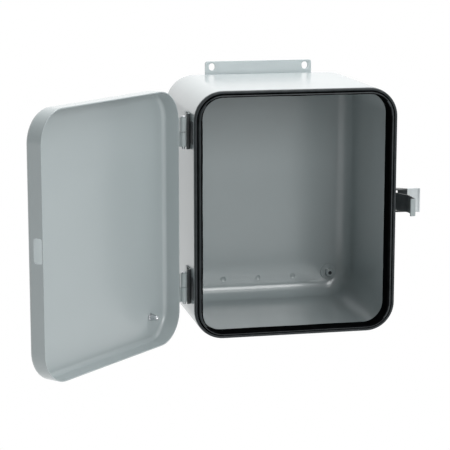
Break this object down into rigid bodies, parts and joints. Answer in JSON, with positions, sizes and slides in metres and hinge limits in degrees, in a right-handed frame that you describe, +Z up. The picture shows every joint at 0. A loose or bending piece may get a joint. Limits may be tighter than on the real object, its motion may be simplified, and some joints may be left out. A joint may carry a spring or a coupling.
{
  "type": "hinged-cover electrical enclosure",
  "caption": "Empty painted-steel wall enclosure with a gasketed hinged pan door, draw latch, mounting brackets and ground boss.",
  "frame": {"origin": "centre of the top bracket's wall face, level with its bolt holes", "axes": "+Z up, +Y into the wall, so the door faces -Y, +X to the right seen from the front"},
  "size_m": [0.5187, 0.3739, 0.3354],
  "materials": {
    "grey_paint": "smooth semi-gloss grey enamel",
    "black_rubber": "smooth moulded black rubber",
    "zinc_plate": "bright zinc plate",
    "hinge_steel": "dull stainless steel",
    "dark_steel": "dark satin coating on steel",
    "stainless": "bright stainless steel"
  },
  "bodies": {
    "enclosure": {"enclosure_body": "grey_paint", "door_gasket": "black_rubber", "top_mounting_bracket": "grey_paint", "bottom_mounting_bracket": "grey_paint", "ground_boss": "grey_paint", "latch_base": "dark_steel", "latch_base_rivet_upper": "zinc_plate", "latch_base_rivet_lower": "zinc_plate", "latch_pivot_rivet_upper": "zinc_plate", "latch_pivot_rivet_lower": "zinc_plate", "upper_hinge_body_leaf": "hinge_steel", "upper_hinge_pin": "zinc_plate", "lower_hinge_body_leaf": "hinge_steel", "lower_hinge_pin": "zinc_plate"},
    "door": {"door_pan": "grey_paint", "door_bonding_stud": "zinc_plate", "upper_hinge_door_leaf": "hinge_steel", "lower_hinge_door_leaf": "hinge_steel"},
    "lever": {"latch_lever": "stainless", "latch_hook_pin": "zinc_plate"},
    "hook": {"latch_hook": "stainless"}
  },
  "joints": [
    {"name": "door_hinge", "type": "hinge", "parent": "enclosure", "child": "door", "pos_m": [-0.1362, -0.1889, -0.1544], "axis": [0, 0, 1], "range_deg": [-44.5, 135.5]},
    {"name": "lever_pivot", "type": "hinge", "parent": "enclosure", "child": "lever", "pos_m": [0.135, -0.143, -0.1604], "axis": [0, 0, 1], "range_deg": [-30, 90]},
    {"name": "hook_pivot", "type": "hinge", "parent": "lever", "child": "hook", "pos_m": [0.14097, -0.14237, -0.1604], "axis": [0, 0, 1], "range_deg": [-105.1, 35.1]}
  ],
  "couplings": [
    {"joint": "hook_pivot", "follows": "lever_pivot", "ratio": -1.1667}
  ]
}
